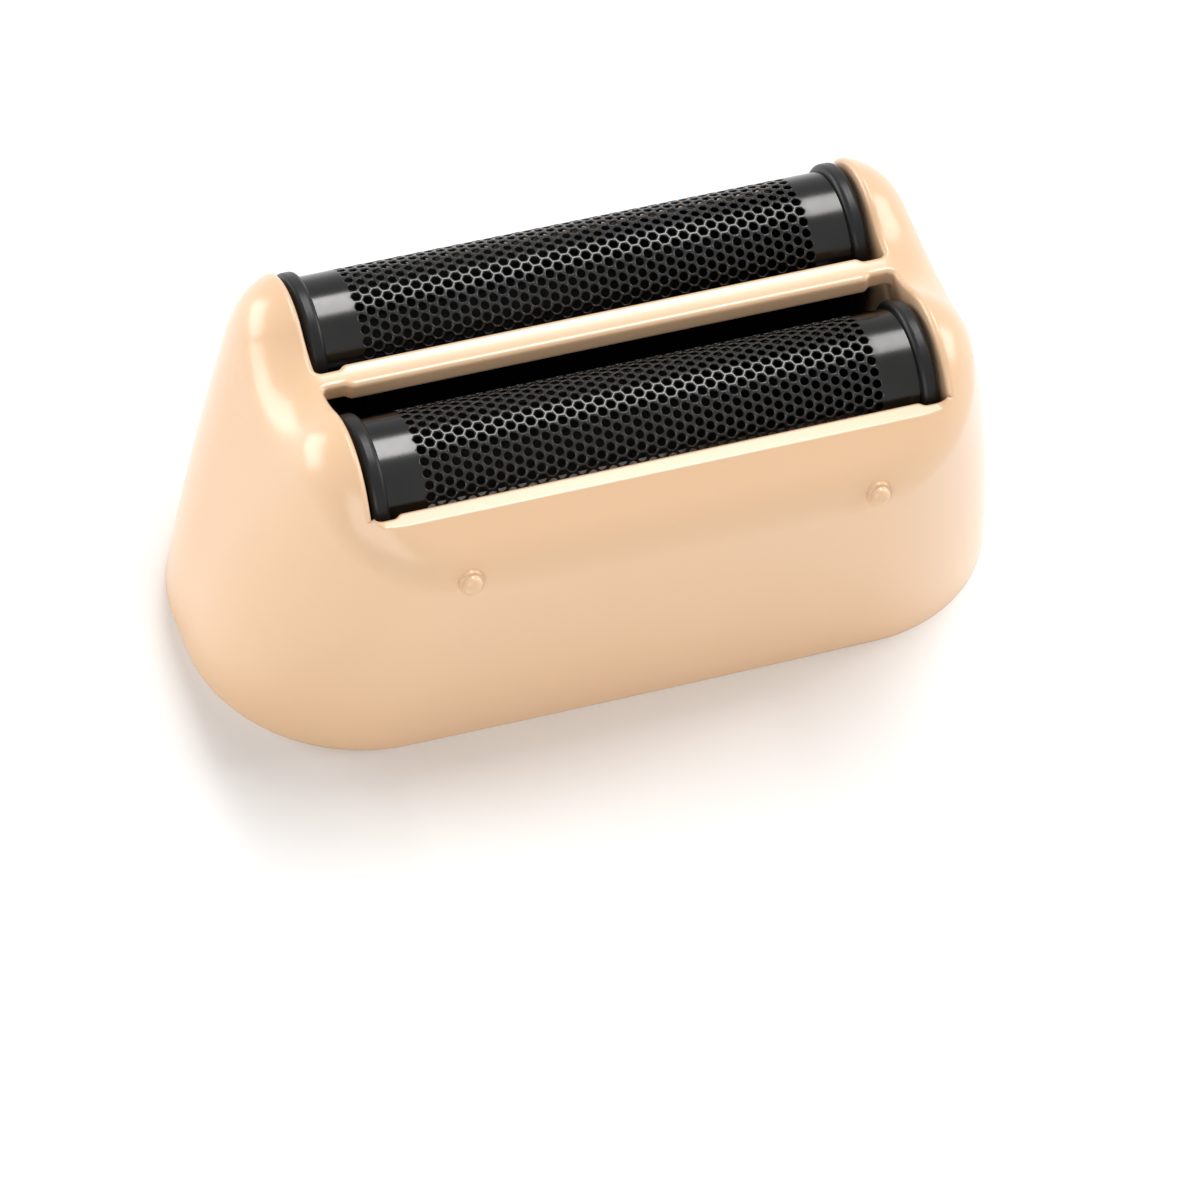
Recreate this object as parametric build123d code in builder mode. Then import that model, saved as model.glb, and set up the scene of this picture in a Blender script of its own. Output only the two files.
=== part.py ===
"""Twin-foil shaver head, in millimetres: +Z up, origin at the centre of the base rim, front towards -Y.

A moulded housing with two ears, two perforated foils in flanged frames, and the carrier that locks both
frames into the housing from below.
"""

import os
from math import cos, degrees, radians, sin, sqrt, tan

from build123d import *

# Foils
foil_pitch = 13.95              # between the axes of the two foils
foil_axis_height = 21.2         # above the base rim
foil_radius = 4.8               # outside of the arch
foil_thickness = 0.15
foil_length = 40.3              # between the two flanges
foil_leg_height = 5.0           # straight part below the arch
hole_across_flats = 1.6
hole_pitch = 2.15
plain_band = 2.7                # unperforated strip beside each flange
hole_arc = 160.0                # degrees of the arch that carry holes

# Foil frames
flange_thickness = 1.25
flange_lip = 0.5                # how far a flange stands proud of the foil
flange_edge_radius = 0.4
spigot_length = 0.8             # band that carries the foil's end
frame_wall = 0.9
rail_height = 3.0
foot_height = 1.0               # step that the foil's leg stands on
foil_clearance = 0.05           # between the foil and what it is wrapped on

# Housing, outer form: half length, half width and corner radius of the plan at the base, waist and crown
base_half_length, base_half_width, base_corner = 31.1, 14.6, 12.9
waist_height, waist_half_length, waist_half_width, waist_corner = 13.0, 28.8, 15.9, 12.9
crown_half_length, crown_half_width, crown_corner = 24.2, 17.2, 10.0
side_bow = 0.3                  # how far the long sides bow out at the middle
ear_rise = 1.4                  # ears above the foils
front_flank_angle = 45.0        # slope of the shoulder in front of the foils
rear_flank_angle = 66.0         # the shoulder behind them is steeper
rear_lobe_radius = 5.6          # of the ears over the rear foil
shoulder_radius = 5.0           # all round the top

# Housing, windows and bar
wall = 1.8
end_clearance = 0.35            # between a flange and the ear
side_clearance = 0.3            # between a foil and the ledge
front_ledge_rise = 2.5          # above the axes of the foils
rear_ledge_rise = 0.5
ledge_corner = 0.9              # where a ledge turns up into an ear
bar_rise = 4.0                  # above the axes of the foils, level with the valley in each ear
bar_width = 2.2
bar_thickness = 1.35
notch_length = 1.75             # relief beside each flange
notch_depth = 0.35
notch_run = 0.4                 # slope at the end of the relief
window_corner = 0.5
edge_radius = 0.35              # along the bar and the ears
skin_tolerance = 0.001          # for edges that lie on the outer form

# Cap nubs, low on the front shoulder
nub_spacing = 30.85
nub_drop = 1.5                  # below the axes of the foils
nub_tilt = 14.0                 # above level
nub_ring_diameter = 1.9
nub_ring_length = 0.25          # beyond the ends of the bowed wall
nub_diameter = 1.5
nub_length = 0.5
nub_tip_radius = 0.45
nub_root = 1.5                  # buried in the wall

# Carrier and the catches that hold it
carrier_thickness = 2.2
carrier_side_clearance = 0.4
carrier_end_clearance = 0.6
catch_width = 6.0
catch_thickness = 1.2
catch_reach = 0.9               # overlap under the carrier's edge
catch_spacing = 26.0

# Heights and widths that follow
foil_inner = foil_radius - foil_thickness
flange_radius = foil_radius + flange_lip
leg_bottom = foil_axis_height - foil_leg_height
frame_bottom = leg_bottom - foot_height
spigot_radius = foil_inner - foil_clearance
bay_half_width = spigot_radius - frame_wall
ear_top = foil_axis_height + foil_radius + ear_rise
lobe_radius = ear_top - foil_axis_height
ledge_heights = {-1: foil_axis_height + front_ledge_rise, 1: foil_axis_height + rear_ledge_rise}
bar_height = foil_axis_height + bar_rise
nub_height = foil_axis_height - nub_drop
nub_share = (nub_height - waist_height) / (ear_top - waist_height)
nub_y = waist_half_width + nub_share * (crown_half_width - waist_half_width) - side_bow
saddle_radius = ((foil_pitch / 2) ** 2 + bar_rise ** 2 - lobe_radius ** 2) / (2 * (lobe_radius - bar_rise))
foil_half_length = foil_length / 2
window_half_length = foil_half_length + flange_thickness + end_clearance
window_edge = foil_pitch / 2 + foil_radius + side_clearance
step_out = window_half_length - notch_length
step_in = step_out - notch_run
carrier_bottom = frame_bottom - carrier_thickness

# Outer plan at the seat of the carrier, and the carrier inside it
seat_share = (frame_bottom - waist_height) / (ear_top - waist_height)
seat_half_length = waist_half_length + seat_share * (crown_half_length - waist_half_length)
seat_half_width = waist_half_width + seat_share * (crown_half_width - waist_half_width)
seat_corner = waist_corner + seat_share * (crown_corner - waist_corner)
carrier_share = carrier_bottom / frame_bottom
carrier_half_length = seat_half_length - wall - carrier_end_clearance
socket_half_width = base_half_width + carrier_share * (seat_half_width - base_half_width) - wall
carrier_half_width = socket_half_width - side_bow - carrier_side_clearance
carrier_corner = seat_corner - wall
catch_depth = catch_reach + carrier_side_clearance + side_bow + wall / 2
sides = {"front": -1, "rear": 1}


def plan(height, half_length, half_width, corner, inset=0.0):
    """Plan of the housing at one height: a round-cornered rectangle with bowed long sides."""
    x = half_length - inset
    y = half_width - inset - side_bow
    with BuildSketch(Plane.XY.offset(height)) as face:
        with BuildLine():
            ThreePointArc((-x, -y), (0, -y - side_bow), (x, -y))
            Line((x, -y), (x, y))
            ThreePointArc((x, y), (0, y + side_bow), (-x, y))
            Line((-x, y), (-x, -y))
        make_face()
        fillet(face.vertices(), corner - inset)
    return face.sketch


def arch(plane, y, radius, bottom):
    """An inverted U: half a disc on straight legs that end at the given height."""
    with BuildSketch(plane) as face:
        with BuildLine():
            Line((y - radius, bottom), (y - radius, foil_axis_height))
            ThreePointArc((y - radius, foil_axis_height), (y, foil_axis_height + radius),
                          (y + radius, foil_axis_height))
            Line((y + radius, foil_axis_height), (y + radius, bottom))
            Line((y + radius, bottom), (y - radius, bottom))
        make_face()
    return face.sketch


# Housing: one moulding, open below
with BuildPart() as head_housing:
    loft([
        plan(0, base_half_length, base_half_width, base_corner),
        plan(waist_height, waist_half_length, waist_half_width, waist_corner),
        plan(ear_top, crown_half_length, crown_half_width, crown_corner),
    ])
    # Roof: a lobe over each foil, a valley between them and a sloping flank outside them
    with BuildSketch(Plane.YZ) as roof:
        lobe_y = foil_pitch / 2
        reach = saddle_radius + lobe_radius
        saddle_z = foil_axis_height + sqrt(reach ** 2 - lobe_y ** 2)
        lean = Vector(lobe_y, foil_axis_height - saddle_z) / reach
        join = Vector(0, saddle_z) + lean * saddle_radius
        rear_lobe = join + lean * rear_lobe_radius
        rear_slope = radians(rear_flank_angle)
        rear_top = rear_lobe + Vector(sin(rear_slope), cos(rear_slope)) * rear_lobe_radius
        rear_foot = (rear_top.X + (rear_top.Y + wall) / tan(rear_slope), -wall)
        slope = radians(front_flank_angle)
        front_top = Vector(-lobe_y, foil_axis_height) + Vector(-sin(slope), cos(slope)) * lobe_radius
        front_foot = (front_top.X - (front_top.Y + wall) / tan(slope), -wall)
        with BuildLine():
            ThreePointArc((-join.X, join.Y), (0, bar_height), join)
            ThreePointArc(join, rear_lobe + Vector(0, rear_lobe_radius), rear_top)
            Line(rear_top, rear_foot)
            Line(rear_foot, front_foot)
            Line(front_foot, front_top)
            ThreePointArc(front_top, (-lobe_y, ear_top), (-join.X, join.Y))
        make_face()
    extrude(amount=2 * base_half_length, both=True, mode=Mode.INTERSECT)
    roof_edges = head_housing.edges().filter_by(
        lambda e: e.bounding_box().min.Z > wall
        and (abs(e.center().X) > wall or abs(e.center().Y) > window_edge + wall))
    fillet(roof_edges, shoulder_radius)
    outer_skin = head_housing.part.shell()
    # Socket for the shaver's neck, up to the seat of the carrier
    loft([
        plan(0, base_half_length, base_half_width, base_corner, wall),
        plan(frame_bottom, seat_half_length, seat_half_width, seat_corner, wall),
    ], mode=Mode.SUBTRACT)
    # Well below the bar
    with BuildSketch(Plane.XY.offset(carrier_bottom)):
        Rectangle(2 * window_half_length, bar_width + 2 * window_corner)
    extrude(amount=bar_height - bar_thickness - carrier_bottom, mode=Mode.SUBTRACT)
    # Windows through the roof, a little wider beside the flanges: what is left between them is the bar
    for s in sides.values():
        near = s * bar_width / 2
        far = s * window_edge
        step = s * notch_depth
        with BuildSketch(Plane.XY.offset(carrier_bottom)) as window:
            with BuildLine():
                Polyline((-step_in, near), (step_in, near), (step_out, near - step),
                         (window_half_length, near - step), (window_half_length, far + step),
                         (step_out, far + step), (step_in, far), (-step_in, far), (-step_out, far + step),
                         (-window_half_length, far + step), (-window_half_length, near - step),
                         (-step_out, near - step), close=True)
            make_face()
            fillet(window.vertices().filter_by(lambda v: abs(v.X) < window_half_length - window_corner
                                               or abs(v.Y) < bar_width), window_corner)
        extrude(amount=ear_top, mode=Mode.SUBTRACT)
    # Ledges in front of and behind the windows
    for s in sides.values():
        with BuildSketch(Plane.XZ.offset(-s * foil_pitch / 2)) as ledge:
            with Locations((0, ear_top)):
                Rectangle(2 * window_half_length, 2 * (ear_top - ledge_heights[s]))
            fillet(ledge.vertices().group_by(Axis.Z)[0], ledge_corner)
        extrude(amount=-s * crown_half_width, mode=Mode.SUBTRACT)
    # Rounding along the bar and the inner edges of the ears
    rims = head_housing.edges().filter_by(
        lambda e: e.center().Z > ledge_heights[1 if e.center().Y > 0 else -1] + 0.9 * ledge_corner
        and abs(e.center().X) < window_half_length + foil_clearance
        and abs(e.center().Y) > bar_width / 2 - 1.2 * notch_depth
        and outer_skin.distance_to(e.center()) < skin_tolerance)
    fillet(rims, edge_radius)
    # Nubs for the cap
    for x in (-nub_spacing / 2, nub_spacing / 2):
        tilt = radians(nub_tilt)
        nub_plane = Plane((x, -nub_y, nub_height), x_dir=(1, 0, 0), z_dir=(0, -cos(tilt), sin(tilt)))
        with BuildSketch(nub_plane.offset(-nub_root)):
            Circle(nub_ring_diameter / 2)
        extrude(amount=nub_root + nub_ring_length)
        with BuildSketch(nub_plane.offset(nub_ring_length)):
            Circle(nub_diameter / 2)
        extrude(amount=nub_length)
        rounds = head_housing.edges(Select.LAST).filter_by(GeomType.CIRCLE)
        fillet(rounds.sort_by(lambda e: e.arc_center.Z)[-1], nub_tip_radius)
    # Catches under the edge of the carrier
    for x in (-catch_spacing / 2, catch_spacing / 2):
        for s in sides.values():
            with BuildSketch(Plane.XY.offset(carrier_bottom - catch_thickness)):
                with Locations((x, s * (carrier_half_width - catch_reach + catch_depth / 2))):
                    Rectangle(catch_width, catch_depth)
            extrude(amount=catch_thickness)

# Foils: thin sheets bent over the frames, with staggered six-sided holes
hole_columns = int((foil_length - 2 * plain_band - hole_across_flats) / (hole_pitch * sqrt(3) / 2)) + 1
column_x = [(i - (hole_columns - 1) / 2) * hole_pitch * sqrt(3) / 2 for i in range(hole_columns)]
row_step = degrees(hole_pitch / foil_radius)
row_count = int(hole_arc / row_step)
foils = {}
for side, s in sides.items():
    axis_y = s * foil_pitch / 2
    with BuildPart() as foil:
        extrude(arch(Plane.YZ, axis_y, foil_radius, leg_bottom), amount=foil_half_length, both=True)
        extrude(arch(Plane.YZ, axis_y, foil_inner, leg_bottom), amount=foil_length, both=True, mode=Mode.SUBTRACT)
        for j in range(2 * row_count - 1):
            turn = radians((j - row_count + 1) * row_step / 2)
            row_plane = Plane((0, axis_y, foil_axis_height), x_dir=(1, 0, 0), z_dir=(0, sin(turn), cos(turn)))
            with BuildSketch(row_plane):
                with Locations([(x, 0) for x in column_x[j % 2::2]]):
                    RegularPolygon(hole_across_flats / 2, 6, major_radius=False)
            extrude(amount=flange_radius, mode=Mode.SUBTRACT)
    foils[side] = foil

# Foil frames: two flanges, a spigot behind each foil end, and rails whose feet carry the foil's legs
frames = {}
for side, s in sides.items():
    axis_y = s * foil_pitch / 2
    with BuildPart() as frame:
        for end in (-1, 1):
            face_x = end * foil_half_length
            flange = arch(Plane.YZ.offset(face_x), axis_y, flange_radius, frame_bottom)
            extrude(flange, amount=end * flange_thickness)
        rims = frame.edges().filter_by(lambda e: e.center().Z > foil_axis_height)
        fillet(rims, flange_edge_radius)
        for end in (-1, 1):
            face_x = end * foil_half_length
            spigot = arch(Plane.YZ.offset(face_x), axis_y, spigot_radius, frame_bottom)
            extrude(spigot, amount=-end * spigot_length)
        with BuildSketch(Plane.XY.offset(frame_bottom)) as feet:
            with Locations((0, axis_y)):
                Rectangle(foil_length, 2 * foil_radius)
        extrude(feet.sketch, amount=foot_height)
        with BuildSketch(Plane.XY.offset(frame_bottom)) as rails:
            with Locations((0, axis_y)):
                Rectangle(foil_length, 2 * spigot_radius)
        extrude(rails.sketch, amount=rail_height)
        bay = arch(Plane.YZ, axis_y, bay_half_width, frame_bottom)
        extrude(bay, amount=foil_half_length, both=True, mode=Mode.SUBTRACT)
    frames[side] = frame

# Carrier: the plate that both frames stand on
with BuildPart() as foil_carrier:
    with BuildSketch(Plane.XY.offset(carrier_bottom)):
        RectangleRounded(2 * carrier_half_length, 2 * carrier_half_width, carrier_corner)
        with Locations((0, foil_pitch / 2), (0, -foil_pitch / 2)):
            Rectangle(2 * (foil_half_length - spigot_length), 2 * bay_half_width, mode=Mode.SUBTRACT)
    extrude(amount=carrier_thickness)

os.makedirs("parts", exist_ok=True)
head_housing.part.label = "head_housing"
foils["front"].part.label = "front_foil"
foils["rear"].part.label = "rear_foil"
frames["front"].part.label = "front_foil_frame"
frames["rear"].part.label = "rear_foil_frame"
foil_carrier.part.label = "foil_carrier"
export_step(head_housing.part, "parts/head_housing.step")
export_step(foils["front"].part, "parts/front_foil.step")
export_step(foils["rear"].part, "parts/rear_foil.step")
export_step(frames["front"].part, "parts/front_foil_frame.step")
export_step(frames["rear"].part, "parts/rear_foil_frame.step")
export_step(foil_carrier.part, "parts/foil_carrier.step")
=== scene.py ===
"""Looks for the twin-foil shaver head: fine perforated foils, moulded plastics, studio light and camera."""

from math import cos, pi, radians, sin, sqrt

import bpy
from mathutils import Matrix, Vector


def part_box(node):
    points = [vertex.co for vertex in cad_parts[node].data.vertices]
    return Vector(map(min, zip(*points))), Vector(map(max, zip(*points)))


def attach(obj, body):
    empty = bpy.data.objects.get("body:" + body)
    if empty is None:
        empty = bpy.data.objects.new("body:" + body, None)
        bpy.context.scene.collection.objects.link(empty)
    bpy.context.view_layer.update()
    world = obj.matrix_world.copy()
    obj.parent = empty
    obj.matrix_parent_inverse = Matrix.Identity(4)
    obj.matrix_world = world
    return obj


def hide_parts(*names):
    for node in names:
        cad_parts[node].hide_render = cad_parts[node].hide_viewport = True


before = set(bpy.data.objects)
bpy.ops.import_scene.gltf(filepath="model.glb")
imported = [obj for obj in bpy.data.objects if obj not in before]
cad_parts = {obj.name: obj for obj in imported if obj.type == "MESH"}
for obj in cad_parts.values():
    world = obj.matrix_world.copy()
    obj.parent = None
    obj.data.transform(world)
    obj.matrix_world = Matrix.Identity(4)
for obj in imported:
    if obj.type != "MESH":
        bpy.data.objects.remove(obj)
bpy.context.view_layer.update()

MM = 0.001

# Perforation of the foils
HOLE_PITCH = 0.87 * MM          # round the arch
COLUMN_STEP = HOLE_PITCH * sqrt(3) / 2
WEB_WIDTH = 0.19 * MM
HOLE_ROUNDING = 0.13 * MM
HOLE_SIDES = 12                 # six flats and six cut corners
HOLE_COLUMNS = 46               # along the foil
HOLE_ROWS = 16                  # round the arch
SHEET_THICKNESS = 0.15 * MM
END_STEPS = 3                   # strips in each plain end band
LEG_STEPS = 6                   # strips from the last hole down to the foot of a leg
MERGE = 0.004 * MM

# Border of the perforation, along the foil and round the arch, from the middles of the outermost holes
ZIGZAG_DEPTH = (0.32 * HOLE_PITCH, 0.53 * HOLE_PITCH)
BORDER_GAP = (0.95 * HOLE_PITCH, 0.74 * HOLE_PITCH)

# Moulded edges of the housing
EDGE_SOFTNESS = 0.25 * MM
EDGE_SAMPLES = 8

# Part of a noise's range that a finish is spread over
NOISE_LOW, NOISE_HIGH = 0.1, 0.9

# Studio
FLOOR_SIZE = 4.0
ROOM_LIGHT = 0.32
LAMP_TARGET = Vector((0, 0, 15 * MM))

# Camera, as fitted to the picture
CAMERA_TURN = -25.2
CAMERA_RISE = 50.2
CAMERA_ROLL = 7.5
CAMERA_SLIDE = (-1.58 * MM, 4.01 * MM)
CAMERA_DISTANCE = 500 * MM
NEAREST_SEEN = 10 * MM
FOCAL_PIXELS = 6702
IMAGE_PIXELS = 1200
SENSOR = 36.0


# Small helpers

def deselect_all():
    bpy.ops.object.select_all(action="DESELECT")


def only(piece):
    deselect_all()
    piece.select_set(True)
    bpy.context.view_layer.objects.active = piece


def apply_modifiers(piece):
    only(piece)
    for name in [m.name for m in piece.modifiers]:
        bpy.ops.object.modifier_apply(modifier=name)


def select_border(piece, wanted):
    """In edit mode, leaves only the open border edges selected whose two ends both satisfy wanted."""
    bpy.ops.mesh.select_mode(type="EDGE")
    bpy.ops.mesh.select_all(action="DESELECT")
    bpy.ops.mesh.select_non_manifold(use_wire=False, use_multi_face=False, use_non_contiguous=False,
                                     use_verts=False)
    bpy.ops.object.mode_set(mode="OBJECT")
    points = piece.data.vertices
    for edge in piece.data.edges:
        if edge.select and not all(wanted(points[i].co) for i in edge.vertices):
            edge.select = False
    for point in points:
        point.select = False
    for face in piece.data.polygons:
        face.select = False
    bpy.ops.object.mode_set(mode="EDIT")


def node_material(name):
    """A new material, with what makes its nodes, what makes its links, and its principled shader."""
    material = bpy.data.materials.new(name)
    material.use_nodes = True
    tree = material.node_tree
    shader = tree.nodes["Principled BSDF"]
    return material, tree.nodes.new, tree.links.new, shader


def object_noise(new, link, scale, detail=3.0):
    place = new("ShaderNodeTexCoord")
    noise = new("ShaderNodeTexNoise")
    noise.inputs["Scale"].default_value = scale
    noise.inputs["Detail"].default_value = detail
    link(place.outputs["Object"], noise.inputs["Vector"])
    return noise.outputs["Fac"]


def two_tone(new, link, factor, dark, light):
    node = new("ShaderNodeValToRGB")
    first, last = node.color_ramp.elements
    first.position = NOISE_LOW
    first.color = (*dark, 1)
    last.position = NOISE_HIGH
    last.color = (*light, 1)
    link(factor, node.inputs["Fac"])
    return node.outputs["Color"]


def spread(new, link, factor, low, high):
    node = new("ShaderNodeMapRange")
    node.inputs["From Min"].default_value = NOISE_LOW
    node.inputs["From Max"].default_value = NOISE_HIGH
    node.inputs["To Min"].default_value = low
    node.inputs["To Max"].default_value = high
    link(factor, node.inputs["Value"])
    return node.outputs["Result"]


# Materials

def peach_plastic():
    material, new, link, shader = node_material("peach_plastic")
    cloud = object_noise(new, link, scale=40)
    colour = two_tone(new, link, cloud, dark=(0.785, 0.51, 0.302), light=(0.815, 0.54, 0.323))
    link(colour, shader.inputs["Base Color"])
    haze = object_noise(new, link, scale=120, detail=2.0)
    link(spread(new, link, haze, low=0.27, high=0.30), shader.inputs["Roughness"])
    shader.inputs["Coat Weight"].default_value = 0.35
    shader.inputs["Coat Roughness"].default_value = 0.16
    shader.inputs["Sheen Weight"].default_value = 0.2
    shader.inputs["Sheen Roughness"].default_value = 0.4
    edges = new("ShaderNodeBevel")
    edges.samples = EDGE_SAMPLES
    edges.inputs["Radius"].default_value = EDGE_SOFTNESS
    link(edges.outputs["Normal"], shader.inputs["Normal"])
    link(edges.outputs["Normal"], shader.inputs["Coat Normal"])
    return material


def dark_foil_steel():
    material, new, link, shader = node_material("dark_foil_steel")
    cloud = object_noise(new, link, scale=250)
    colour = two_tone(new, link, cloud, dark=(0.029, 0.029, 0.028), light=(0.042, 0.041, 0.041))
    link(colour, shader.inputs["Base Color"])
    grain = object_noise(new, link, scale=600, detail=2.0)
    link(spread(new, link, grain, low=0.17, high=0.23), shader.inputs["Roughness"])
    shader.inputs["Metallic"].default_value = 1.0
    return material


def black_plastic(name, shades, roughness):
    """Moulded black with a fine grain; shades and roughness are each a low and a high value."""
    material, new, link, shader = node_material(name)
    cloud = object_noise(new, link, scale=180)
    dark, light = [(shade, shade, shade) for shade in shades]
    link(two_tone(new, link, cloud, dark, light), shader.inputs["Base Color"])
    grain = object_noise(new, link, scale=2200)
    link(spread(new, link, grain, *roughness), shader.inputs["Roughness"])
    shader.inputs["Specular IOR Level"].default_value = 0.25
    skin = new("ShaderNodeBump")
    skin.inputs["Strength"].default_value = 0.12
    skin.inputs["Distance"].default_value = 0.02 * MM
    link(grain, skin.inputs["Height"])
    link(skin.outputs["Normal"], shader.inputs["Normal"])
    return material


# Foils

def hexagon_pair(name):
    """Two neighbouring six-sided cells in the XY plane, each with its hole still filled by a face."""
    deselect_all()
    bpy.ops.mesh.primitive_circle_add(vertices=6, radius=HOLE_PITCH / sqrt(3), fill_type="NGON")
    sheet = bpy.context.object
    sheet.name = name
    sheet.data.name = name
    bpy.ops.object.mode_set(mode="EDIT")
    bpy.ops.mesh.select_all(action="SELECT")
    bpy.ops.transform.rotate(value=pi / 6, orient_axis="Z", center_override=(0, 0, 0))
    bpy.ops.mesh.select_mode(type="FACE")
    bpy.ops.mesh.select_all(action="SELECT")
    bpy.ops.mesh.inset(thickness=WEB_WIDTH / 2, depth=0)
    bpy.ops.mesh.bevel(offset=HOLE_ROUNDING, segments=1, affect="VERTICES")
    bpy.ops.mesh.select_all(action="SELECT")
    bpy.ops.mesh.duplicate_move(TRANSFORM_OT_translate={"value": (COLUMN_STEP, HOLE_PITCH / 2, 0)})
    bpy.ops.object.mode_set(mode="OBJECT")
    return sheet


def perforated_sheet(name, half_length, edge_reach):
    """A flat sheet with its holes: X along the foil, Y round the arch, as far as edge_reach on both sides."""
    sheet = hexagon_pair(name)
    for count, step in ((HOLE_COLUMNS // 2, (2 * COLUMN_STEP, 0, 0)), (HOLE_ROWS, (0, HOLE_PITCH, 0))):
        row = sheet.modifiers.new("repeat", "ARRAY")
        row.count = count
        row.use_relative_offset = False
        row.use_constant_offset = True
        row.constant_offset_displace = step
    apply_modifiers(sheet)
    bpy.ops.object.mode_set(mode="EDIT")
    bpy.ops.mesh.select_all(action="SELECT")
    bpy.ops.mesh.remove_doubles(threshold=MERGE)
    # Half the distance between the outermost holes, along the foil and round the arch
    reach = ((HOLE_COLUMNS - 1) * COLUMN_STEP / 2, (HOLE_ROWS - 0.5) * HOLE_PITCH / 2)
    bpy.ops.transform.translate(value=(-reach[0], -reach[1], 0))
    # Plain borders: the zigzag edge is drawn out, flattened and drawn out again
    for axis, far, steps in ((1, edge_reach, LEG_STEPS), (0, half_length, END_STEPS)):
        zigzag = reach[axis] - ZIGZAG_DEPTH[axis]
        border = reach[axis] + BORDER_GAP[axis]
        for side in (-1, 1):
            select_border(sheet, lambda co: co[axis] * side > zigzag)
            for stop in [border + (far - border) * i / steps for i in range(steps + 1)]:
                bpy.ops.mesh.extrude_edges_move()
                flat = [1, 1, 1]
                flat[axis] = 0
                pivot = [0, 0, 0]
                pivot[axis] = side * stop
                bpy.ops.transform.resize(value=flat, center_override=pivot)
    bpy.ops.object.mode_set(mode="OBJECT")
    return sheet


def open_holes(sheet):
    bpy.ops.object.mode_set(mode="EDIT")
    bpy.ops.mesh.select_mode(type="FACE")
    bpy.ops.mesh.select_all(action="DESELECT")
    bpy.ops.mesh.select_face_by_sides(number=HOLE_SIDES, type="EQUAL")
    bpy.ops.mesh.delete(type="FACE")
    bpy.ops.object.mode_set(mode="OBJECT")


def wrap_over_arch(sheet, axis_y, axis_z, radius):
    """Bends the flat sheet over the arch: half a turn, then straight legs."""
    quarter = radius * pi / 2
    for point in sheet.data.vertices:
        run = point.co.y
        turn = max(-pi / 2, min(pi / 2, run / radius))
        leg = max(0.0, abs(run) - quarter)
        point.co.y = axis_y + radius * sin(turn)
        point.co.z = axis_z + radius * cos(turn) - leg


def sharpen_ends(foil, end):
    """Keeps the shading of the plain bands even as far as the ends of the sheet."""
    bpy.ops.object.mode_set(mode="EDIT")
    bpy.ops.mesh.select_mode(type="EDGE")
    bpy.ops.mesh.select_all(action="DESELECT")
    bpy.ops.object.mode_set(mode="OBJECT")
    points = foil.data.vertices
    for edge in foil.data.edges:
        edge.select = all(abs(points[i].co.x) > end for i in edge.vertices)
    bpy.ops.object.mode_set(mode="EDIT")
    bpy.ops.mesh.mark_sharp()
    bpy.ops.object.mode_set(mode="OBJECT")


def perforated_foil(node, material):
    low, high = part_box(node)
    half_length = (high.x - low.x) / 2
    radius = (high.y - low.y) / 2
    axis_y = (high.y + low.y) / 2
    axis_z = high.z - radius
    foil = perforated_sheet("fine_" + node, half_length, radius * pi / 2 + axis_z - low.z)
    open_holes(foil)
    wrap_over_arch(foil, axis_y, axis_z, radius)
    wall = foil.modifiers.new("sheet", "SOLIDIFY")
    wall.thickness = SHEET_THICKNESS
    wall.offset = -1
    apply_modifiers(foil)
    bpy.ops.object.shade_smooth()
    sharpen_ends(foil, half_length - MERGE)
    foil.data.materials.append(material)
    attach(foil, "root")
    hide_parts(node)


# Studio

def studio_floor():
    deselect_all()
    bpy.ops.mesh.primitive_plane_add(size=FLOOR_SIZE, location=(0, 0, 0))
    floor = bpy.context.object
    floor.name = "studio_floor"
    material, new, link, shader = node_material("pale_floor")
    cloud = object_noise(new, link, scale=3)
    colour = two_tone(new, link, cloud, dark=(0.93, 0.93, 0.93), light=(0.95, 0.95, 0.95))
    link(colour, shader.inputs["Base Color"])
    shader.inputs["Roughness"].default_value = 0.9
    floor.data.materials.append(material)


def white_surroundings(strength):
    """An even white background for what the camera sees, and a plain level for what lights the object."""
    world = bpy.data.worlds.new("studio_white")
    bpy.context.scene.world = world
    world.use_nodes = True
    new = world.node_tree.nodes.new
    link = world.node_tree.links.new
    backdrop = world.node_tree.nodes["Background"]
    backdrop.inputs["Color"].default_value = (1, 1, 1, 1)
    path = new("ShaderNodeLightPath")
    seen = new("ShaderNodeMath")
    seen.operation = "MAXIMUM"
    clear = new("ShaderNodeMath")
    clear.operation = "MAXIMUM"
    link(path.outputs["Is Glossy Ray"], clear.inputs[0])
    link(path.outputs["Is Transmission Ray"], clear.inputs[1])
    link(path.outputs["Is Camera Ray"], seen.inputs[0])
    link(clear.outputs["Value"], seen.inputs[1])
    mixed = new("ShaderNodeMix")
    mixed.inputs["A"].default_value = strength
    mixed.inputs["B"].default_value = 1.0
    link(seen.outputs["Value"], mixed.inputs["Factor"])
    link(mixed.outputs["Result"], backdrop.inputs["Strength"])


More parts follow.
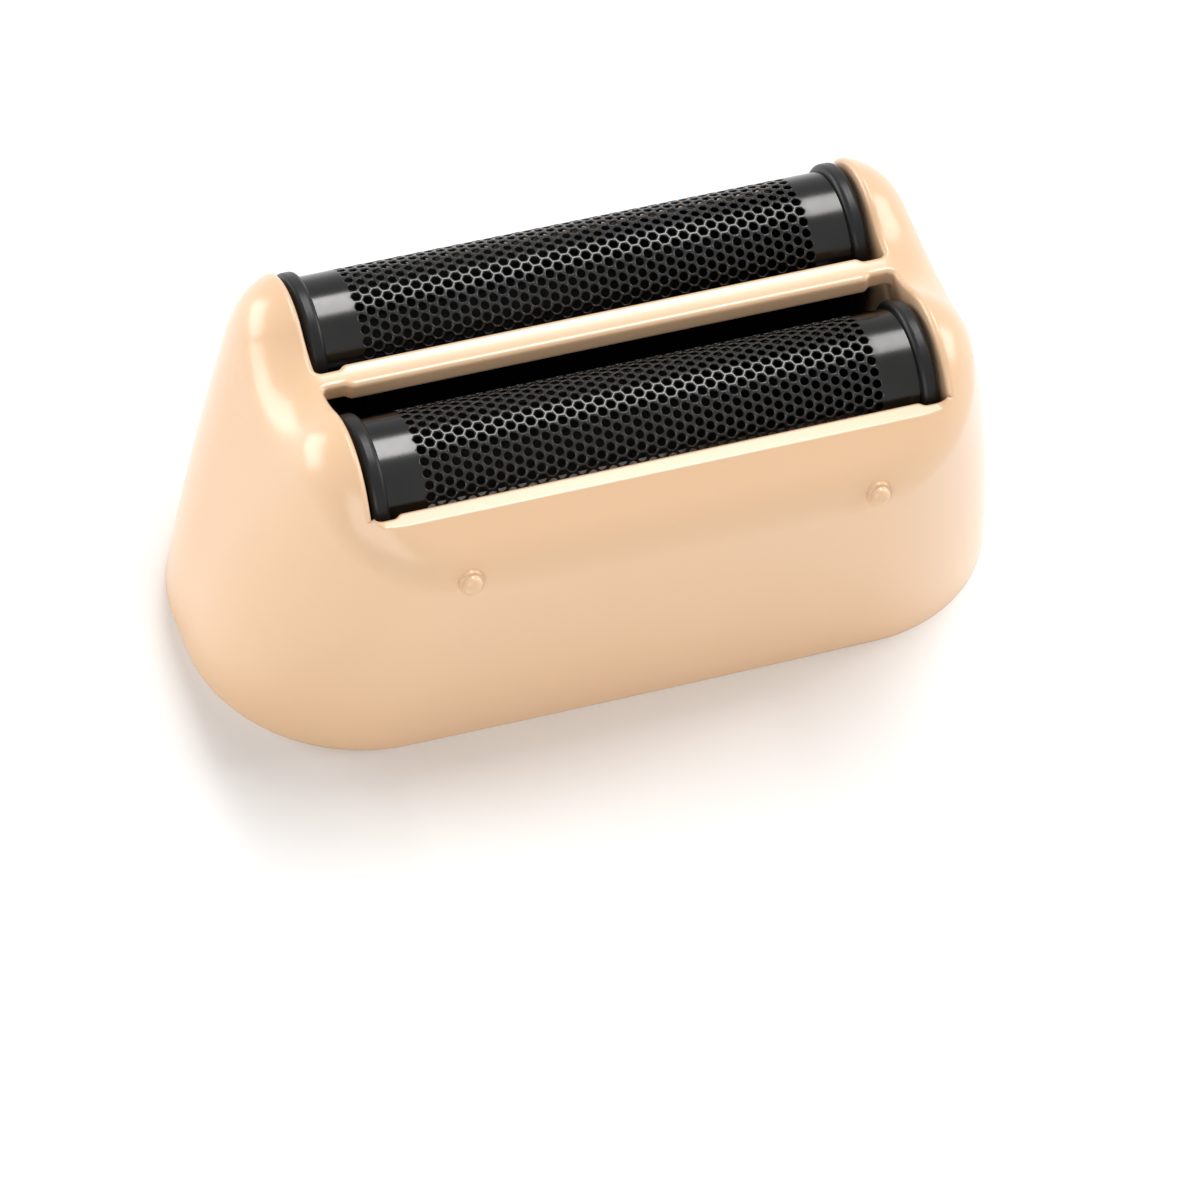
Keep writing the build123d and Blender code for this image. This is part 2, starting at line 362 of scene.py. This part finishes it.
def softbox(name, place, size, power):
    """An area lamp that faces the foils, its first side level with the foils' length."""
    facing = (Vector(place) - LAMP_TARGET).normalized()
    along = (Vector((1, 0, 0)) - facing * facing.x).normalized()
    across = facing.cross(along)
    lamp = bpy.data.lights.new(name, "AREA")
    lamp.shape = "RECTANGLE"
    lamp.size, lamp.size_y = size
    lamp.energy = power
    holder = bpy.data.objects.new(name, lamp)
    bpy.context.scene.collection.objects.link(holder)
    holder.matrix_world = Matrix.Translation(place) @ Matrix((along, across, facing)).transposed().to_4x4()


def set_camera():
    turn, rise, roll = radians(CAMERA_TURN), radians(CAMERA_RISE), radians(CAMERA_ROLL)
    back = Vector((sin(turn) * cos(rise), -cos(turn) * cos(rise), sin(rise)))
    level = Vector((cos(turn), sin(turn), 0))
    upright = back.cross(level)
    right = cos(roll) * level + sin(roll) * upright
    up = cos(roll) * upright - sin(roll) * level
    place = back * CAMERA_DISTANCE - right * CAMERA_SLIDE[0] - up * CAMERA_SLIDE[1]
    data = bpy.data.cameras.new("camera")
    data.sensor_width = SENSOR
    data.lens = SENSOR * FOCAL_PIXELS / IMAGE_PIXELS
    data.clip_start = NEAREST_SEEN
    camera = bpy.data.objects.new("camera", data)
    bpy.context.scene.collection.objects.link(camera)
    camera.matrix_world = Matrix.Translation(place) @ Matrix((right, up, back)).transposed().to_4x4()
    bpy.context.scene.camera = camera


def paint(node, material):
    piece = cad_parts[node]
    for slot in piece.material_slots:
        slot.material = material


# Build

steel = dark_foil_steel()
for foil_node in ("front_foil", "rear_foil"):
    perforated_foil(foil_node, steel)
paint("head_housing", peach_plastic())
frame_plastic = black_plastic("satin_black_plastic", shades=(0.007, 0.011), roughness=(0.30, 0.40))
for frame_node in ("front_foil_frame", "rear_foil_frame"):
    paint(frame_node, frame_plastic)
paint("foil_carrier", black_plastic("matt_black_plastic", shades=(0.006, 0.010), roughness=(0.50, 0.60)))

studio_floor()
white_surroundings(ROOM_LIGHT)
softbox("overhead_softbox", place=(0.54, 0.626, 1.82), size=(0.28, 1.25), power=24.0)
softbox("front_fill", place=(-0.35, -0.60, 0.25), size=(0.6, 0.4), power=1.9)
softbox("left_softbox", place=(-0.50, 0.40, 0.15), size=(0.45, 0.35), power=2.4)
softbox("right_softbox", place=(0.50, 0.0, 0.30), size=(0.3, 0.3), power=1.3)
set_camera()
bpy.context.scene.view_settings.view_transform = "Standard"
